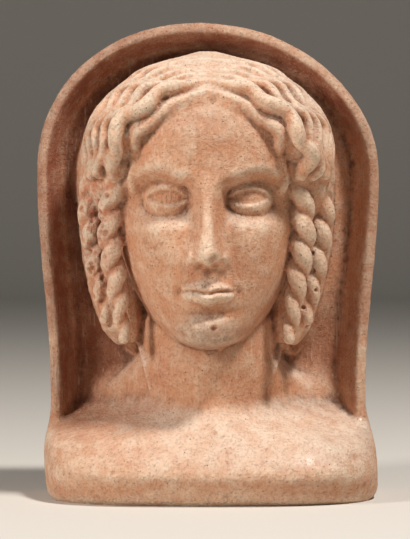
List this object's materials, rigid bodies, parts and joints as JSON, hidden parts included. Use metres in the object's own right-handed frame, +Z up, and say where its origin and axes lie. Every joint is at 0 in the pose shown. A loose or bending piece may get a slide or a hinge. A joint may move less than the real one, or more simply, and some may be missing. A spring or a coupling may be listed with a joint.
{
  "type": "votive head sculpture",
  "caption": "Moulded terracotta votive head of a woman with waved hair and twisted tresses, set in her veil as an arched niche over a rounded bust edge.",
  "frame": {"origin": "centre of the bounding box in plan, at the underside on which the bust stands", "axes": "+Z up the height, +X to the right of someone facing the piece, the face looks along -Y"},
  "size_m": [0.1922, 0.134, 0.2654],
  "materials": {
    "terracotta": "dry fired clay, matte and worn"
  },
  "bodies": {
    "root": {"votive_head": "terracotta"}
  },
  "joints": []
}
